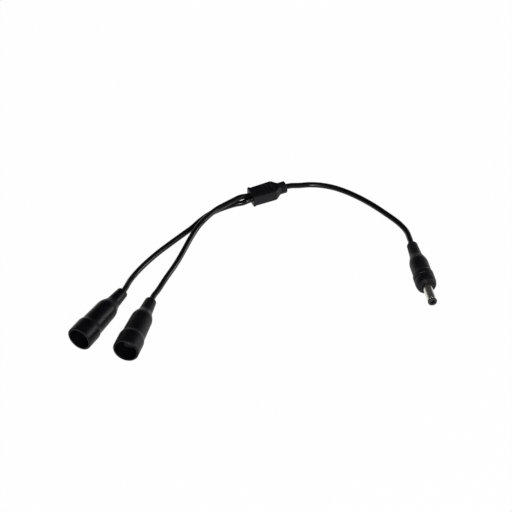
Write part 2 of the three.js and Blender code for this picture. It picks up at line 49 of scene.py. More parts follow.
def makeCamera(s):
    tilt = math.radians(s["elevation"])
    x, y, z = s["target"]
    lens = bpy.data.cameras.new("studioCamera")
    lens.sensor_width = 36.0
    lens.lens = s["focalPixels"] * lens.sensor_width / s["imagePixels"]
    lens.clip_start = 0.01
    camera = bpy.data.objects.new("studioCamera", lens)
    back, rise = s["distance"] * math.cos(tilt), s["distance"] * math.sin(tilt)
    camera.location = (x * mm, (y - back) * mm, (z + rise) * mm)
    camera.rotation_euler = (math.pi / 2 - tilt, 0.0, 0.0)
    scene.collection.objects.link(camera)
    scene.camera = camera


makeCamera(view)
print("camera placed")


# every row of an array divided by its own length
def unit(rows):
    return rows / np.linalg.norm(rows, axis=-1, keepdims=True)


# where a turned piece stands: its rear end, and its axis, side and up directions after heading and tilt
def standing(place):
    heading, tilt = math.radians(place["heading"]), math.radians(place.get("tilt", 0.0))
    c, s = math.cos(heading), math.sin(heading)
    axis = (math.cos(tilt) * c, math.cos(tilt) * s, math.sin(tilt))
    up = (-math.sin(tilt) * c, -math.sin(tilt) * s, math.cos(tilt))
    return np.array(place["rear"]), np.array([axis, (-s, c, 0.0), up])


# a corner (x, r, cut) of a profile becomes the curve (1-t)^2 a + 2t(1-t) p + t^2 b,
# where a and b lie the cut's length before and after the corner p; doubles are dropped
def rounded(corners, steps=7, closed=True):
    c = np.array(corners, float)
    p, cut = c[:, :2], c[:, 2:3].copy()
    if not closed:
        cut[[0, -1]] = 0.0
    back, ahead = unit(np.roll(p, 1, 0) - p), unit(np.roll(p, -1, 0) - p)
    t = np.linspace(0.0, 1.0, steps)[None, :, None]
    a, b, mid = (p + cut * back)[:, None], (p + cut * ahead)[:, None], p[:, None]
    line = ((1 - t) ** 2 * a + 2 * t * (1 - t) * mid + t ** 2 * b).reshape(-1, 2)
    far = np.linalg.norm(line - np.roll(line, 1, 0), axis=1) > 1e-4
    far[0] = True
    return line[far]


# how sharply a line of points turns outwards at each point, from 0 on a flat to 1 on an edge;
# fullTurn is the sine of the turn that counts as a whole edge
def edgeShare(line, fullTurn=0.22):
    ahead, back = unit(np.roll(line, -1, 0) - line), unit(line - np.roll(line, 1, 0))
    turn = back[:, 0] * ahead[:, 1] - back[:, 1] * ahead[:, 0]
    area = np.sum(line[:, 0] * np.roll(line[:, 1], -1) - line[:, 1] * np.roll(line[:, 0], -1))
    return np.clip(turn * np.sign(area) / fullTurn, 0.0, 1.0)


# a grid of points as a mesh of four-sided faces: columns run round the piece, and rows run round it too
# or end in poles; skin is each point in the piece's own straight millimetres, and the edge mask after it
# paints the edges lighter, partly as real wear and partly as a painted highlight
def gridPiece(name, points, skin, wearAndHighlight, material, ringRows=False):
    rows, columns = points.shape[:2]
    i, j = np.meshgrid(np.arange(rows if ringRows else rows - 1), np.arange(columns), indexing="ij")
    nextRow, nextColumn = (i + 1) % rows, (j + 1) % columns
    quads = np.stack([i * columns + j, nextRow * columns + j,
                      nextRow * columns + nextColumn, i * columns + nextColumn], -1).reshape(-1, 4)
    verts, skins, wearAndHighlights = points.reshape(-1, 3), skin.reshape(-1, 3), wearAndHighlight.reshape(-1)
    triangles = np.zeros((0, 3), int)
    if not ringRows:
        first, last = len(verts), len(verts) + 1
        verts = np.vstack([verts, points[0].mean(0), points[-1].mean(0)])
        skins = np.vstack([skins, skin[0].mean(0), skin[-1].mean(0)])
        wearAndHighlights = np.append(wearAndHighlights, [0.0, 0.0])
        column = np.arange(columns)
        after, top = (column + 1) % columns, (rows - 1) * columns
        triangles = np.vstack([np.stack([0 * column + first, column, after], -1),
                               np.stack([0 * column + last, top + after, top + column], -1)])
    fans = np.vstack([quads[:, [0, 1, 2]], quads[:, [0, 2, 3]], triangles])
    corner = verts[fans]
    volume = np.einsum("ij,ij->", corner[:, 0], np.cross(corner[:, 1], corner[:, 2]))
    if volume < 0:  # turned round, so that the faces point outwards
        quads, triangles = quads[:, ::-1], triangles[:, ::-1]
    mesh = bpy.data.meshes.new(name)
    mesh.from_pydata(verts.tolist(), [], quads.tolist() + triangles.tolist())
    mesh.polygons.foreach_set("use_smooth", np.ones(len(mesh.polygons), bool))
    skinData = mesh.attributes.new("skin", "FLOAT_VECTOR", "POINT").data
    skinData.foreach_set("vector", skins.ravel().astype(np.float32))
    wearAndHighlightData = mesh.attributes.new("wearAndHighlight", "FLOAT", "POINT").data
    wearAndHighlightData.foreach_set("value", wearAndHighlights.astype(np.float32))
    mesh.materials.append(material)
    mesh.update()
    piece = bpy.data.objects.new(name, mesh)
    scene.collection.objects.link(piece)
    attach(piece, body)
    return piece


# local points, in millimetres, laid along, beside and above a place's axis, in metres
def laid(local, place):
    rear, directions = standing(place)
    return (rear + local @ directions) * mm


# a mould seam: its own columns, in degrees from the parting line, and the spread of its bell curve
seamShape = dict(columns=(-2.4, -1.5, -0.8, 0.8, 1.5, 2.4), spread=1.1)


# a turned piece: a point is x along the axis, r cos a to the side and r sin a up; a mould seam
# of the given height stands on both sides, falling off as a bell curve of a, where seamRows is 1
def turnedPiece(name, place, profile, material, sides=96, closed=True, seam=0.0, seamRows=None,
                bump=None):
    angles = np.linspace(0.0, 2 * math.pi, sides, endpoint=False)
    if seam:
        close = np.radians(seamShape["columns"])
        angles = np.unique(np.concatenate([angles, close % (2 * math.pi), close + math.pi]))
    x, r = profile[:, 0:1] + 0 * angles, profile[:, 1:2] + 0 * angles
    if seam:
        away = np.degrees(np.abs(np.arcsin(np.sin(angles))))
        r = r + seam * np.exp(-(away / seamShape["spread"]) ** 2) * seamRows[:, None]
    if bump is not None:
        r = bump(x, r, angles)
    local = np.stack([x, r * np.cos(angles), r * np.sin(angles)], -1)
    wearAndHighlight = edgeShare(profile)[:, None] + 0 * angles
    return gridPiece(name, laid(local, place), local, wearAndHighlight, material, ringRows=closed)


# helpers for shader nodes: a value is either linked or set
def addNode(tree, kind, inputs=None, **settings):
    node = tree.nodes.new(kind)
    for key, value in settings.items():
        setattr(node, key, value)
    for key, value in (inputs or {}).items():
        if isinstance(value, bpy.types.NodeSocket):
            tree.links.new(value, node.inputs[key])
        else:
            node.inputs[key].default_value = value
    return node


def newGroup(name, inputs, outputs):
    tree = bpy.data.node_groups.new(name, "ShaderNodeTree")
    for label, kind, value in inputs:
        socket = tree.interface.new_socket(name=label, in_out="INPUT", socket_type=kind)
        if value is not None:
            socket.default_value = value
    for label, kind in outputs:
        tree.interface.new_socket(name=label, in_out="OUTPUT", socket_type=kind)
    return tree, tree.nodes.new("NodeGroupInput"), tree.nodes.new("NodeGroupOutput")


def noiseAt(tree, vector, scale, detail=3.0, roughness=0.55):
    return addNode(tree, "ShaderNodeTexNoise", {"Vector": vector, "Scale": scale, "Detail": detail,
                                                "Roughness": roughness}).outputs["Fac"]


def mapped(tree, value, fromLow, fromHigh, toLow, toHigh):
    return addNode(tree, "ShaderNodeMapRange", {"Value": value, "From Min": fromLow, "From Max": fromHigh,
                                                "To Min": toLow, "To Max": toHigh}).outputs["Result"]


def maths(tree, operation, first, second):
    return addNode(tree, "ShaderNodeMath", {0: first, 1: second}, operation=operation).outputs[0]


# moulded skin: spark-eroded grain, slow mottling and sparse specks, all in millimetres of the piece
def makeSkinGroup():
    tree, gin, gout = newGroup(
        "mouldedSkin",
        [("Vector", "NodeSocketVector", None), ("Grain Scale", "NodeSocketFloat", 5.0),
         ("Mottle Scale", "NodeSocketFloat", 0.35)],
        [("Grain", "NodeSocketFloat"), ("Mottle", "NodeSocketFloat"), ("Speck", "NodeSocketFloat")])
    v = gin.outputs["Vector"]
    grain = noiseAt(tree, v, gin.outputs["Grain Scale"], 4.0, 0.6)
    mottle = mapped(tree, noiseAt(tree, v, gin.outputs["Mottle Scale"], 3.0), 0.3, 0.7, 0.0, 1.0)
    cells = addNode(tree, "ShaderNodeTexVoronoi", {"Vector": v, "Scale": 1.3},
                    feature="F1").outputs["Distance"]
    speck = mapped(tree, cells, 0.05, 0.11, 1.0, 0.0)
    tree.links.new(grain, gout.inputs["Grain"])
    tree.links.new(mottle, gout.inputs["Mottle"])
    tree.links.new(speck, gout.inputs["Speck"])
    return tree


# edge wear and painted highlight: the piece's own edge mask broken up by noise, so that handled edges are
# polished here and there and painted lighter, partly as real wear and partly as a painted highlight
def makeWearAndHighlightGroup():
    tree, gin, gout = newGroup(
        "handledEdgesAndHighlight", [("Vector", "NodeSocketVector", None), ("Amount", "NodeSocketFloat", 0.7)],
        [("Mask", "NodeSocketFloat")])
    edge = addNode(tree, "ShaderNodeAttribute", attribute_name="wearAndHighlight").outputs["Fac"]
    broken = mapped(tree, noiseAt(tree, gin.outputs["Vector"], 0.8, 4.0), 0.35, 0.62, 0.15, 1.0)
    mask = maths(tree, "MULTIPLY", maths(tree, "MULTIPLY", edge, broken), gin.outputs["Amount"])
    tree.links.new(mask, gout.inputs["Mask"])
    return tree


# drawn lines: fine scratches that run along or round a piece, as the vector is stretched before the noise
def makeLinesGroup():
    tree, gin, gout = newGroup(
        "drawnLines",
        [("Vector", "NodeSocketVector", None), ("Stretch", "NodeSocketVector", (1.0, 1.0, 1.0))],
        [("Lines", "NodeSocketFloat"), ("Broad", "NodeSocketFloat")])
    stretched = addNode(tree, "ShaderNodeVectorMath", {0: gin.outputs["Vector"], 1: gin.outputs["Stretch"]},
                        operation="MULTIPLY").outputs[0]
    tree.links.new(noiseAt(tree, stretched, 4.0, 2.0), gout.inputs["Lines"])
    broad = mapped(tree, noiseAt(tree, stretched, 0.9, 2.0), 0.3, 0.7, 0.0, 1.0)
    tree.links.new(broad, gout.inputs["Broad"])
    return tree


skinGroup, wearAndHighlightGroup, linesGroup = makeSkinGroup(), makeWearAndHighlightGroup(), makeLinesGroup()


def useGroup(tree, group, inputs):
    return addNode(tree, "ShaderNodeGroup", inputs, node_tree=group)


def blendColour(tree, share, first, second):
    return addNode(tree, "ShaderNodeMix", {0: share, 6: first, 7: second}, data_type="RGBA").outputs[2]


# one finish: colour and roughness vary with mottle, edge wear with a painted edge highlight, and lines,
# and the grain stands up through a bump
def makeFinish(name, s):
    material = bpy.data.materials.new(name)
    material.use_nodes = True
    tree = material.node_tree
    shader = tree.nodes["Principled BSDF"]
    shader.inputs["Metallic"].default_value = s.get("metallic", 0.0)
    shader.inputs["IOR"].default_value = s.get("ior", 1.5)
    shader.inputs["Specular IOR Level"].default_value = s.get("specular", 0.5)
    if s.get("onSkin", True):
        vector = addNode(tree, "ShaderNodeAttribute", attribute_name="skin").outputs["Vector"]
    else:  # a node of the frame: its own object coordinates, in millimetres
        own = addNode(tree, "ShaderNodeTexCoord").outputs["Object"]
        vector = addNode(tree, "ShaderNodeVectorMath", {0: own, 1: (1 / mm,) * 3},
                         operation="MULTIPLY").outputs[0]
    skin = useGroup(tree, skinGroup, {"Vector": vector, "Grain Scale": s["grainScale"],
                                      "Mottle Scale": s["mottleScale"]})
    lines = useGroup(tree, linesGroup, {"Vector": vector, "Stretch": s.get("stretch", (1.0, 1.0, 1.0))})
    colour = blendColour(tree, skin.outputs["Mottle"], (*s["dark"], 1.0), (*s["light"], 1.0))
    speckShare = maths(tree, "MULTIPLY", skin.outputs["Speck"], s.get("dust", 0.0))
    colour = blendColour(tree, speckShare, colour, (*s.get("dustColour", s["light"]), 1.0))
    rough = mapped(tree, skin.outputs["Mottle"], 0.0, 1.0, s["rough"][0], s["rough"][1])
    streaks = mapped(tree, lines.outputs["Broad"], 0.0, 1.0, -s["lineRough"], s["lineRough"])
    rough = maths(tree, "ADD", rough, streaks)
    if s.get("onSkin", True):
        # the edges are painted lighter: partly real wear, partly a painted highlight where edges catch the
        # light
        wearAndHighlight = useGroup(tree, wearAndHighlightGroup, {"Vector": vector, "Amount": s.get("wearAndHighlight", 0.6)}).outputs["Mask"]
        colour = blendColour(tree, wearAndHighlight, colour, (*s["wornAndHighlightColour"], 1.0))
        rough = maths(tree, "SUBTRACT", rough, maths(tree, "MULTIPLY", wearAndHighlight, s.get("polish", 0.1)))
    tree.links.new(colour, shader.inputs["Base Color"])
    tree.links.new(rough, shader.inputs["Roughness"])
    height = maths(tree, "ADD", maths(tree, "MULTIPLY", skin.outputs["Grain"], s["grainHeight"]),
                   maths(tree, "MULTIPLY", lines.outputs["Lines"], s["lineHeight"]))
    bump = addNode(tree, "ShaderNodeBump",
                   {"Height": height, "Strength": s.get("bump", 0.5), "Distance": mm})
    tree.links.new(bump.outputs["Normal"], shader.inputs["Normal"])
    return material


# heights and scales are in millimetres of the piece; onSkin is False for the frame's own nodes
# the worn colour of each finish is its lighter edge colour: partly real wear, partly a painted highlight
finishes = dict(
    overmould=dict(
        dark=(0.0042, 0.0037, 0.0050), light=(0.0082, 0.0073, 0.0093), rough=(0.36, 0.48), lineRough=0.03,
        ior=1.42, specular=0.16, grainScale=6.0, mottleScale=0.32, grainHeight=0.026, lineHeight=0.0,
        wornAndHighlightColour=(0.016, 0.0148, 0.018), wearAndHighlight=0.6, polish=0.08, dust=0.15,
        dustColour=(0.016, 0.016, 0.017)),
    socketMould=dict(
        dark=(0.0016, 0.0013, 0.0024), light=(0.0034, 0.0028, 0.0046), rough=(0.33, 0.43), lineRough=0.03,
        ior=1.42, specular=0.16, grainScale=6.0, mottleScale=0.32, grainHeight=0.020, lineHeight=0.0,
        wornAndHighlightColour=(0.007, 0.0065, 0.008), wearAndHighlight=0.3, polish=0.08, dust=0.15,
        dustColour=(0.012, 0.012, 0.013)),
    jacket=dict(
        dark=(0.0018, 0.0017, 0.0022), light=(0.0036, 0.0034, 0.0042), rough=(0.24, 0.34), lineRough=0.04,
        ior=1.45, specular=0.3, grainScale=5.0, mottleScale=0.22, grainHeight=0.012, lineHeight=0.018,
        stretch=(1.0, 1.0, 0.06), wornAndHighlightColour=(0.008, 0.008, 0.009), wearAndHighlight=0.0, dust=0.2,
        dustColour=(0.016, 0.016, 0.017)),
    jackPlastic=dict(
        dark=(0.0070, 0.0066, 0.0080), light=(0.0130, 0.0122, 0.0145), rough=(0.42, 0.55), lineRough=0.02,
        ior=1.42, specular=0.4, grainScale=8.0, mottleScale=0.6, grainHeight=0.015, lineHeight=0.0,
        wornAndHighlightColour=(0.035, 0.034, 0.037), wearAndHighlight=0.7, polish=0.12),
    nickel=dict(
        dark=(0.60, 0.585, 0.53), light=(0.70, 0.69, 0.64), rough=(0.16, 0.26), lineRough=0.06, metallic=1.0,
        grainScale=9.0, mottleScale=0.5, grainHeight=0.004, lineHeight=0.010, stretch=(6.0, 0.25, 0.25),
        wornAndHighlightColour=(0.78, 0.77, 0.72), wearAndHighlight=0.8, polish=0.05),
    nickelInside=dict(
        dark=(0.58, 0.57, 0.52), light=(0.70, 0.69, 0.64), rough=(0.2, 0.32), lineRough=0.05, metallic=1.0,
        grainScale=9.0, mottleScale=0.5, grainHeight=0.004, lineHeight=0.006, bump=0.4, onSkin=False),
    innerPlastic=dict(
        dark=(0.0085, 0.0080, 0.0100), light=(0.0140, 0.0130, 0.0150), rough=(0.42, 0.55), lineRough=0.02,
        grainScale=8.0, mottleScale=0.6, grainHeight=0.015, lineHeight=0.0, onSkin=False),
    redInsulation=dict(
        dark=(0.21, 0.010, 0.011), light=(0.31, 0.018, 0.018), rough=(0.38, 0.5), lineRough=0.03,
        grainScale=7.0, mottleScale=0.5, grainHeight=0.01, lineHeight=0.01, onSkin=False),
    blackInsulation=dict(
        dark=(0.006, 0.006, 0.007), light=(0.012, 0.012, 0.013), rough=(0.38, 0.5), lineRough=0.03,
        grainScale=7.0, mottleScale=0.5, grainHeight=0.01, lineHeight=0.01, onSkin=False),
    shrinkTube=dict(
        dark=(0.008, 0.008, 0.009), light=(0.016, 0.016, 0.017), rough=(0.5, 0.65), lineRough=0.05,
        grainScale=3.0, mottleScale=0.8, grainHeight=0.03, lineHeight=0.02, onSkin=False),
    solder=dict(
        dark=(0.42, 0.42, 0.41), light=(0.60, 0.60, 0.58), rough=(0.28, 0.45), lineRough=0.05, metallic=1.0,
        grainScale=3.0, mottleScale=1.0, grainHeight=0.04, lineHeight=0.0, onSkin=False),
)
finish = {name: makeFinish(name, settings) for name, settings in finishes.items()}
print("finishes made:", len(finish))


# cables: the routes are in millimetres before the shift that moves them into the frame; they are those of
# the part's source, but two points of the left branch lie up to 0.2 mm nearer to the right one;
# exits and lengths are in metres
cables = dict(radius=1.7, sides=40, perSegment=26, inside=6.0, insideRows=6, shift=(1.08, 13.34, 0.0))
trunk = dict(
    name="trunk_cord", standsFor="trunk_cable", exit=(0.018757, 0.070469, 0.00385), length=0.115,
    route=[(18.12, 57.32, 3.85), (21.4, 58.4, 3.6), (26.8, 59.7, 2.6), (33.0, 61.1, 1.9),
           (40.4, 60.7, 1.75), (48.1, 58.5, 1.75), (55.7, 54.7, 1.75), (63.7, 49.3, 1.75),
           (71.4, 42.9, 1.75), (79.1, 35.3, 1.75), (86.6, 27.0, 1.75), (90.8, 19.6, 2.1),
           (92.5, 11.5, 3.15), (93.3, 6.15, 3.9)],
)
leftBranch = dict(
    name="left_branch_cord", standsFor="left_branch_cable",
    exit=(-0.00185, 0.059245, 0.00385), length=0.128,
    route=[(-3.46, 45.64, 3.85), (-5.6, 44.85, 3.4), (-8.6, 44.5, 2.1), (-12.4, 43.9, 1.75),
           (-19.3, 40.9, 1.75), (-25.4, 37.4, 1.75), (-30.4, 33.3, 1.75), (-34.6, 28.7, 1.75),
           (-39.2, 22.8, 1.75), (-43.9, 17.8, 1.75), (-51.6, 9.6, 1.75), (-59.2, 1.2, 1.75),
           (-66.4, -8.0, 1.75), (-71.4, -16.3, 2.4), (-74.7, -24.2, 3.9), (-76.6, -31.2, 5.6),
           (-78.05, -35.27, 6.12)],
)
rightBranch = dict(
    name="right_branch_cord", standsFor="right_branch_cable",
    exit=(-0.00329, 0.062435, 0.00385), length=0.122,
    route=[(-4.9, 48.83, 3.85), (-7.2, 47.75, 4.55), (-10.1, 46.0, 5.35), (-15.2, 42.4, 5.4),
           (-19.3, 39.3, 5.4), (-23.8, 35.8, 5.4), (-27.8, 31.5, 5.3), (-31.9, 26.5, 4.8),
           (-35.5, 21.6, 3.8), (-39.6, 13.5, 2.6), (-43.4, 4.0, 1.8), (-47.9, -7.6, 1.75),
           (-54.0, -20.8, 1.85), (-57.8, -30.7, 2.9), (-60.2, -36.5, 4.0), (-61.57, -41.16, 4.61)],
)


# a centripetal curve through the points: between two of them it is the cubic with the slopes that the
# distances to the power one half give, as in the part's source
def smoothLine(points, perSegment):
    p = np.vstack([2 * points[0] - points[1], points, 2 * points[-1] - points[-2]])
    step = np.maximum(np.linalg.norm(np.diff(p, axis=0), axis=1) ** 0.5, 1e-4)[:, None]
    x0, x1, x2, x3 = p[:-3], p[1:-2], p[2:-1], p[3:]
    d0, d1, d2 = step[:-2], step[1:-1], step[2:]
    slope1 = ((x1 - x0) / d0 - (x2 - x0) / (d0 + d1) + (x2 - x1) / d1) * d1
    slope2 = ((x2 - x1) / d1 - (x3 - x1) / (d1 + d2) + (x3 - x2) / d2) * d1
    t = np.linspace(0.0, 1.0, perSegment, endpoint=False)[None, :, None]
    a, b = (2 * x1 - 2 * x2 + slope1 + slope2)[:, None], (-3 * x1 + 3 * x2 - 2 * slope1 - slope2)[:, None]
    line = (((a * t + b) * t + slope1[:, None]) * t + x1[:, None]).reshape(-1, 3)
    return np.vstack([line, points[-1]])


# a cable: a circle carried along its line, with side = up x tangent and lift = tangent x side;
# skin holds r cos a, r sin a and the distance along, so that the jacket's lines follow the cable
def makeCable(cord):
    s = cables
    line = smoothLine(np.array(cord["route"]) + np.array(s["shift"]), s["perSegment"])
    rear, front = unit(line[:1] - line[1:2]), unit(line[-1:] - line[-2:-1])
    share = np.linspace(1.0, 0.0, s["insideRows"] + 1)[:-1, None] * s["inside"]
    line = np.vstack([line[0] + rear * share, line, line[-1] + front * share[::-1]])
    tangent = unit(np.gradient(line, axis=0))
    side = unit(np.cross((0.0, 0.0, 1.0), tangent))
    lift = np.cross(tangent, side)
    angles = np.linspace(0.0, 2 * math.pi, s["sides"], endpoint=False)[None, :, None]
    across, above = s["radius"] * np.cos(angles), s["radius"] * np.sin(angles)
    along = np.concatenate([[0.0], np.cumsum(np.linalg.norm(np.diff(line, axis=0), axis=1))])
    points = line[:, None] + across * side[:, None] + above * lift[:, None]
    blank = np.zeros(points.shape[:2] + (1,))
    skin = np.concatenate([across + blank, above + blank, along[:, None, None] + blank], -1)
    piece = gridPiece(cord["name"], points * mm, skin, blank[..., 0], finish["jacket"])
    print(cord["name"], "centreline", round(float(along[-1]) * mm, 4), "m")
    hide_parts(cord["standsFor"])


# sockets: a boot that swells into a barrel with a flange and an open mouth; inside it are the jack's seat,
# a chamber for the wires and a throat for the cable
socket = dict(
    length=45.5, bootLength=11.0, bootRear=3.4, bootFront=4.2, shoulderLength=5.0, shoulderRadius=6.35,
    bodyRadius=6.95, flangeLength=12.5, flangeStep=2.2, flangeRadius=7.7, rimRounding=0.6, rimInside=0.35,
    mouthRadius=6.4, mouthDepth=10.0, cableHole=1.9, cableStop=5.0, throatEnd=10.5, throatRadius=3.0,
    chamberEnd=15.8, chamberRadius=4.75, jackRoom=0.2, seam=0.05,
    seamLimit=((0.0, 4.0, 11.0, 16.0, 46.0), (2.9, 2.9, 3.6, 5.9, 6.5)),
    jackRadius=5.0, jackProud=0.8, jackLength=16.0, jackBore=2.95, jackBase=2.0, jackBackHole=1.2,
    boreRows=40, slotHalf=1.15, slotTop=4.35, slotEnd=32.9,
    pinRadius=1.02, pinSetBack=1.5, pinTail=4.2, pinCollarRadius=1.8, pinCollarLength=0.8,
    pinCollarGap=0.15,
)
socketPlaces = dict(
    left=dict(rear=(-77.22, -22.36, 6.157), heading=-120.4, tilt=2.5),
    right=dict(rear=(-60.57, -28.11, 4.643), heading=-106.1, tilt=6.0),
)


# 1 on the rows of a profile that lie outside the line seamLimit, (x ...) and (r ...), where a seam shows
def outerRows(profile, s):
    return (profile[:, 1] > np.interp(profile[:, 0], *s["seamLimit"])).astype(float)


# true where a profile has the radius of the jack's bore
def onBore(profile):
    return np.abs(profile[:, 1] - socket["jackBore"]) < 0.02


# every piece is turned about the socket's axis, and a corner of its profile is (x, r, cut)
def makeSocket(side, place):
    s = socket
    front, floor = s["length"], s["length"] - s["mouthDepth"]
    shoulder, flange = s["bootLength"] + s["shoulderLength"], s["length"] - s["flangeLength"]
    jackFront = floor + s["jackProud"]
    jackRear = jackFront - s["jackLength"]
    seat, seatRear = s["jackRadius"] + s["jackRoom"], jackRear - s["jackRoom"]
    outside = [
        (0.0, s["cableHole"], 0.25), (0.0, s["bootRear"], 0.9), (s["bootLength"], s["bootFront"], 1.9),
        (shoulder, s["shoulderRadius"], 1.9), (flange, s["bodyRadius"], 0.9),
        (flange + s["flangeStep"], s["flangeRadius"], 0.9), (front, s["flangeRadius"], s["rimRounding"]),
        (front, s["mouthRadius"], s["rimInside"]),
    ]
    inside = [
        (floor, s["mouthRadius"], 0.5), (floor, seat, 0.1), (seatRear, seat, 0.1),
        (seatRear, s["chamberRadius"], 0.1), (s["chamberEnd"], s["chamberRadius"], 0.4),
        (s["throatEnd"], s["throatRadius"], 0.6), (s["cableStop"], s["cableHole"], 0.6),
    ]
    shell = rounded(outside + inside, 9)
    housing = turnedPiece(side + "_socket_shell", place, shell, finish["socketMould"],
                          sides=128, seam=s["seam"], seamRows=outerRows(shell, s))
    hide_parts(side + "_socket_housing")

    base, back = jackRear + s["jackBase"], s["jackBackHole"]
    jack = rounded([
        (jackRear, back, 0.1), (jackRear, s["jackRadius"], 0.3), (jackFront, s["jackRadius"], 0.35),
        (jackFront, s["jackBore"], 0.45), (base, s["jackBore"], 0.2), (base, back, 0.1),
    ], 7)
    # more rows along the bore, so that the leaf's slot ends sharply
    bore = np.linspace(jackFront - 0.6, base + 0.3, s["boreRows"])
    last = np.argmax(onBore(jack) & (jack[:, 0] < jackFront - 0.3))
    jack = np.insert(jack, last, np.stack([bore, 0 * bore + s["jackBore"]], 1), axis=0)

    def leafSlot(x, r, angles):  # the bore's wall steps out where the leaf contact lies
        inBore = (np.abs(r - s["jackBore"]) < 0.3) & (x > base + 0.1) & (x < s["slotEnd"])
        over = (np.abs(r * np.cos(angles)) < s["slotHalf"]) & (np.sin(angles) > 0)
        return np.where(inBore & over, s["slotTop"], r)

    insulator = turnedPiece(side + "_socket_jack", place, jack, finish["jackPlastic"],
                            sides=96, bump=leafSlot)
    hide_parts(side + "_socket_insulator")

    pinFront, pinRear = jackFront - s["pinSetBack"], jackRear - s["pinTail"]
    collar = base + s["pinCollarGap"]
    collarFront = collar + s["pinCollarLength"]
    pin = rounded([
        (pinRear, nearAxis, 0.0), (pinRear, s["pinRadius"], 0.15), (collar, s["pinRadius"], 0.05),
        (collar, s["pinCollarRadius"], 0.1), (collarFront, s["pinCollarRadius"], 0.1),
        (collarFront, s["pinRadius"], 0.05), (pinFront, s["pinRadius"], 0.75), (pinFront, nearAxis, 0.0),
    ], 8, closed=False)
    contact = turnedPiece(side + "_socket_pin", place, pin, finish["nickel"], sides=48,
                          closed=False)
    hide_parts(side + "_socket_centre_pin")
    return housing


leftShell = makeSocket("left", socketPlaces["left"])
rightShell = makeSocket("right", socketPlaces["right"])
print("sockets made")


# plug: a ribbed boot, a plain body, a collar with a groove and a bright barrel with a black end;
# ribShares says where a cut between two ribs starts, gets deep, ends being deep and ends, in pitches
plug = dict(
    length=39.6, bootLength=11.5, bootRear=3.2, bootFront=3.8, ribs=3, ribStart=1.8, ribPitch=2.2,
    ribDepth=0.38, ribShares=(0.0, 0.16, 0.42, 0.58), shoulderLength=6.0, bodyRadius=5.7,
    collarStart=28.3, collarStep=1.0, collarRadius=6.25, grooveStart=32.6, grooveWidth=1.2, grooveDepth=0.4,
    grooveSlope=0.22, noseLength=3.4, noseRadius=5.75, noseRounding=0.9, cableHole=1.9, cableStop=11.5,
    chamberEnd=18.5, chamberFront=35.5, chamberRadius=4.05, seam=0.05,
    seamLimit=((0.0, 11.0, 18.0, 40.0), (2.3, 2.9, 4.5, 4.4)),
    barrelRadius=2.75, barrelWall=0.45, barrelReach=12.7, barrelGap=0.15, sleeveDepth=5.5,
    sleeveFlange=3.8, sleeveFlangeLength=1.2, tipLength=1.3, tipRadius=2.7, tipHole=1.3, tipGap=0.1,
    contactSetBack=3.0, contactGap=0.15, linerLength=12.65, linerWall=0.4, linerGap=0.15,
)
plugPlace = dict(rear=(94.43, 19.19, 3.936), heading=-80.4, tilt=5.7)


def makePlug(place):
    s = plug
    slope = (s["bootFront"] - s["bootRear"]) / s["bootLength"]
    starts = s["ribStart"] + s["ribPitch"] * np.arange(s["ribs"])
    stations = (starts[:, None] + np.array(s["ribShares"]) * s["ribPitch"]).ravel()
    cuts = np.tile([0.0, 1.0, 1.0, 0.0], s["ribs"]) * s["ribDepth"]
    ribs = np.stack([stations, s["bootRear"] + stations * slope - cuts, 0.15 + 0 * stations], 1).tolist()
    shoulder, collar, front = s["bootLength"] + s["shoulderLength"], s["collarStart"], s["length"]
    groove, grooveFloor = s["grooveStart"], s["collarRadius"] - s["grooveDepth"]
    grooveEnd, barrelHole = groove + s["grooveWidth"], s["barrelRadius"] + s["barrelGap"]
    outside = [(0.0, s["cableHole"], 0.25), (0.0, s["bootRear"], 0.8)] + ribs + [
        (s["bootLength"], s["bootFront"], 2.0), (shoulder, s["bodyRadius"], 2.0),
        (collar, s["bodyRadius"], 0.3), (collar + s["collarStep"], s["collarRadius"], 0.3),
        (groove, s["collarRadius"], 0.18), (groove + s["grooveSlope"], grooveFloor, 0.16),
        (grooveEnd - s["grooveSlope"], grooveFloor, 0.16), (grooveEnd, s["collarRadius"], 0.18),
        (front - s["noseLength"], s["collarRadius"], 0.35),
        (front - s["noseRounding"], s["noseRadius"], 0.3),
        (front, s["noseRadius"] - s["noseRounding"], 0.3), (front, barrelHole, 0.15),
    ]
    inside = [
        (s["chamberFront"], barrelHole, 0.05), (s["chamberFront"], s["chamberRadius"], 0.1),
        (s["chamberEnd"], s["chamberRadius"], 0.5), (s["cableStop"], s["cableHole"], 0.8),
    ]
    shell = rounded(outside + inside, 7)
    housing = turnedPiece("plug_shell", place, shell, finish["overmould"], sides=112,
                          seam=s["seam"], seamRows=outerRows(shell, s))
    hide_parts("plug_housing")

    rear, sleeveFront = front - s["sleeveDepth"], front + s["barrelReach"]
    flangeFront, bore = rear + s["sleeveFlangeLength"], s["barrelRadius"] - s["barrelWall"]
    sleeve = rounded([
        (rear, bore, 0.05), (rear, s["sleeveFlange"], 0.15), (flangeFront, s["sleeveFlange"], 0.15),
        (flangeFront, s["barrelRadius"], 0.05), (sleeveFront, s["barrelRadius"], 0.2),
        (sleeveFront, bore, 0.1),
    ], 7)
    barrel = turnedPiece("plug_barrel", place, sleeve, finish["nickel"], sides=96)
    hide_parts("plug_barrel_sleeve")

    tipFront, tipRear = sleeveFront + s["tipLength"], sleeveFront + s["tipGap"]
    contactFront, liner = tipFront - s["contactSetBack"], bore - s["linerGap"]
    linerRear, linerHole = contactFront - s["linerLength"], liner - s["linerWall"]
    pocket = contactFront + s["contactGap"]
    tip = rounded([
        (linerRear, linerHole, 0.05), (linerRear, liner, 0.05), (tipRear, liner, 0.03),
        (tipRear, s["tipRadius"], 0.12), (tipFront, s["tipRadius"], 0.42), (tipFront, s["tipHole"], 0.28),
        (pocket, s["tipHole"], 0.05), (pocket, linerHole, 0.05),
    ], 8)
    end = turnedPiece("plug_tip", place, tip, finish["jackPlastic"], sides=96)
    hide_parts("plug_tip_insulator")
    return housing


plugShell = makePlug(plugPlace)
print("plug made")


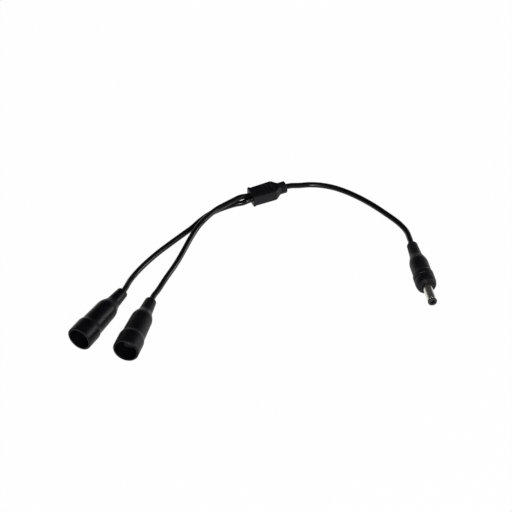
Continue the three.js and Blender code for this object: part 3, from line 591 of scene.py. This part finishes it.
# splitter: a flat block with a lip, three grip ribs and a round neck; rows counts the grid's rows from the
# rear to the lip, over the lip, to the ribs, over them, along the shoulder and along the neck
splitter = dict(
    length=23.4, halfWidth=5.0, halfHeight=3.85, swell=0.35, blockLength=14.8, shoulderLength=5.0, edge=0.95,
    leastEdge=0.3, waist=3.7, neck=3.75, flareLead=0.4, lipLength=1.3, lipProud=0.4, lipFade=(-0.02, 0.22),
    endRounding=0.35, ribs=3, ribFirst=8.4, ribPitch=2.9, ribRadius=0.65, ribProud=0.45, ribHalfLength=3.9,
    ribCrest=0.25, topShare=0.6, flatShare=0.42, seam=0.04, seamSpread=0.12, cornerWear=0.5, ribWearAndHighlight=0.6,
    lipWearAndHighlight=0.35, columns=176, rows=(5, 9, 18, 110, 46, 14), ribZone=(7.4, 15.4), neckStart=20.0,
    rearRings=(0.15, 0.5, 0.85), frontRings=(0.8, 0.56),
)
splitterPlace = dict(rear=(-2.57, 60.84, 3.85), heading=24.3)


# from 0 to 1 along a cosine as x goes from low to high
def ease(x, low, high):
    return 0.5 - 0.5 * np.cos(math.pi * np.clip((x - low) / (high - low), 0.0, 1.0))


# the block's section is a rounded box: y = (w-e) clip(cos a / f) + e cos a and the same for z with sin a;
# w, h and e are eased from the block to the neck, where all three are the neck's radius, so it is round;
# each rib rises as the top of a round bar that is partly sunk in the block
def makeSplitter(place):
    s = splitter
    length, rounding, lipEnd = s["length"], s["endRounding"], s["lipLength"]
    rearRings, frontRings = s["rearRings"], s["frontRings"]
    stops = [rounding, lipEnd - 0.1, lipEnd + 0.3, *s["ribZone"], s["neckStart"], length - rounding]
    middle = np.unique(np.round(np.concatenate([
        np.linspace(low, high, count) for low, high, count in zip(stops, stops[1:], s["rows"])]), 4))
    quarter = np.linspace(0.0, math.pi / 2, 6)
    inset, reach = rounding * (1 - np.sin(quarter)), rounding * (1 - np.cos(quarter))
    rearCut, frontCut = [rounding] * len(rearRings), [rounding] * len(frontRings)
    x = np.concatenate([0 * np.array(rearRings), reach[:-1], middle, (length - reach)[::-1][1:],
                        0 * np.array(frontRings) + length])
    cut = np.concatenate([rearCut, inset[:-1], 0 * middle, inset[::-1][1:], frontCut])
    scale = np.concatenate([rearRings, 0 * inset[:-1] + 1, 0 * middle + 1, 0 * inset[1:] + 1, frontRings])
    shoulderEnd = s["blockLength"] + s["shoulderLength"]
    down = ease(x, s["blockLength"], shoulderEnd)
    flare = ease(x, shoulderEnd - s["flareLead"], length) * (s["neck"] - s["waist"])
    wide = s["halfWidth"] + s["swell"] * np.clip(x / s["blockLength"], 0, 1)
    lip = (1 - ease(x, lipEnd + s["lipFade"][0], lipEnd + s["lipFade"][1])) * s["lipProud"]
    w = wide * (1 - down) + s["waist"] * down + flare - cut + lip
    h = s["halfHeight"] * (1 - down) + s["waist"] * down + flare - cut
    e = np.clip(s["edge"] * (1 - down) + s["waist"] * down + flare - cut, s["leastEdge"], None)
    angles = np.linspace(0.0, 2 * math.pi, s["columns"], endpoint=False) + math.pi / s["columns"]
    c, sn = np.cos(angles)[None], np.sin(angles)[None]
    w, h, e, x, scale, lip, down = (v[:, None] for v in (w, h, e, x, scale, lip, down))
    y = ((w - e) * np.clip(c / s["flatShare"], -1, 1) + e * c) * scale
    z = (h - e) * np.clip(sn / s["flatShare"], -1, 1) + e * sn
    z = (z + lip * np.clip(z / h, 0, 1)) * scale
    z = np.maximum(z, -s["halfHeight"])
    stations = s["ribFirst"] + s["ribPitch"] * np.arange(s["ribs"])
    past = np.maximum(np.abs(y) - (s["ribHalfLength"] - s["ribRadius"]), 0.0)
    apart = np.min(np.abs(x[..., None] - stations), axis=-1)
    rise = np.sqrt(np.maximum(s["ribRadius"] ** 2 - apart ** 2 - past ** 2, 0.0))
    rise = rise - (s["ribRadius"] - s["ribProud"])
    onTop = sn > s["topShare"]
    z = z + np.where(onTop, np.maximum(rise, 0.0), 0.0)
    seamHeight = s["seam"] * np.exp(-(z / s["seamSpread"]) ** 2) * (scale > 0.99)
    y = y + np.sign(y) * seamHeight
    local = np.stack([x + 0 * y, y, z], -1)
    corner = np.minimum(np.abs(c), np.abs(sn)) > s["flatShare"] * 0.9
    # rib crests and the lip are painted lighter, partly as wear and partly as a painted highlight; the
    # corners get wear
    wearAndHighlight = corner * (1 - down) * s["cornerWear"] + (rise > s["ribCrest"]) * onTop * s["ribWearAndHighlight"]
    wearAndHighlight = np.clip(wearAndHighlight + (lip > s["lipProud"] / 4) * s["lipWearAndHighlight"], 0, 1)
    housing = gridPiece("splitter_shell", laid(local, place), local, wearAndHighlight, finish["overmould"])
    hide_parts("splitter_housing")


makeSplitter(splitterPlace)
print("splitter made")

makeCable(trunk)
makeCable(leftBranch)
makeCable(rightBranch)
print("cables made")


# the frame's own nodes that stay: contacts, wires, splices and shrink tubes inside the mouldings
def paint(names, material):
    for name in names:
        for slot in bpy.data.objects[name].material_slots:
            slot.material = material


wireHolders = ["left_socket", "right_socket", "plug", "splitter_trunk", "splitter_left", "splitter_right"]
paint(["left_socket_leaf_contact", "right_socket_leaf_contact", "plug_centre_contact", "plug_sleeve_lug"],
      finish["nickelInside"])
paint(["plug_base_insulator"], finish["innerPlastic"])
paint([name + "_positive_wire" for name in wireHolders], finish["redInsulation"])
paint([name + "_negative_wire" for name in wireHolders], finish["blackInsulation"])
paint(["splitter_positive_splice", "splitter_negative_splice"], finish["solder"])
paint(["splitter_positive_shrink_tube", "splitter_negative_shrink_tube"], finish["shrinkTube"])
print("inner nodes painted")


# the studio: a white floor with a very faint shadow, a room that is pale at the horizon and dim overhead
studio = dict(
    floorSize=8.0, floorWhite=0.9, floorGlow=0.985, horizon=0.30, overhead=0.06, fadeLow=0.02, fadeHigh=0.40,
    lamps=[dict(name="cameraSoftbox", at=(0.15, -1.5, 0.85), size=0.36, power=24.0),
           dict(name="sideSoftbox", at=(1.5, 0.15, 0.36), size=0.8, power=15.0)],
)


def seenDirectly(tree):  # 1 for what the camera, a mirror or a glass sees, 0 for what only lights the object
    path = addNode(tree, "ShaderNodeLightPath")
    seen = maths(tree, "MAXIMUM", path.outputs["Is Camera Ray"], path.outputs["Is Glossy Ray"])
    return maths(tree, "MAXIMUM", seen, path.outputs["Is Transmission Ray"])


def makeFloor(s):
    half = s["floorSize"] / 2
    mesh = bpy.data.meshes.new("studioFloor")
    corners = [(-half, -half, 0), (half, -half, 0), (half, half, 0), (-half, half, 0)]
    mesh.from_pydata(corners, [], [(0, 1, 2, 3)])
    floor = bpy.data.objects.new("studioFloor", mesh)
    scene.collection.objects.link(floor)
    material = bpy.data.materials.new("studioPaper")
    material.use_nodes = True
    tree = material.node_tree
    tree.nodes.clear()
    paper = addNode(tree, "ShaderNodeBsdfDiffuse", {"Color": (s["floorWhite"],) * 3 + (1.0,)})
    glow = addNode(tree, "ShaderNodeEmission", {"Color": (1.0, 1.0, 1.0, 1.0), "Strength": 1.0})
    share = maths(tree, "MULTIPLY", seenDirectly(tree), s["floorGlow"])
    mix = addNode(tree, "ShaderNodeMixShader", {0: share, 1: paper.outputs[0], 2: glow.outputs[0]})
    output = addNode(tree, "ShaderNodeOutputMaterial")
    tree.links.new(mix.outputs[0], output.inputs["Surface"])
    mesh.materials.append(material)


def makeRoom(s):
    world = bpy.data.worlds.new("studioRoom")
    world.use_nodes = True
    scene.world = world
    tree = world.node_tree
    background = tree.nodes["Background"]
    direction = addNode(tree, "ShaderNodeTexCoord").outputs["Generated"]
    height = addNode(tree, "ShaderNodeSeparateXYZ", {"Vector": direction}).outputs["Z"]
    level = addNode(tree, "ShaderNodeMapRange",
                    {"Value": height, "From Min": s["fadeLow"], "From Max": s["fadeHigh"],
                     "To Min": s["horizon"], "To Max": s["overhead"]},
                    interpolation_type="SMOOTHSTEP").outputs["Result"]
    path = addNode(tree, "ShaderNodeLightPath")
    level = maths(tree, "MAXIMUM", level, path.outputs["Is Camera Ray"])
    tree.links.new(level, background.inputs["Strength"])
    background.inputs["Color"].default_value = (1.0, 1.0, 1.0, 1.0)


def makeLamps(s):
    for lamp in s["lamps"]:
        light = bpy.data.lights.new(lamp["name"], "AREA")
        light.shape = "SQUARE"
        light.size = lamp["size"]
        light.energy = lamp["power"]
        holder = bpy.data.objects.new(lamp["name"], light)
        holder.location = lamp["at"]
        x, y, z = lamp["at"]
        holder.rotation_euler = (math.atan2(math.hypot(x, y), z), 0.0, math.atan2(y, x) + math.pi / 2)
        scene.collection.objects.link(holder)


makeFloor(studio)
makeRoom(studio)
makeLamps(studio)
scene.view_settings.view_transform = "Standard"
print("studio made")
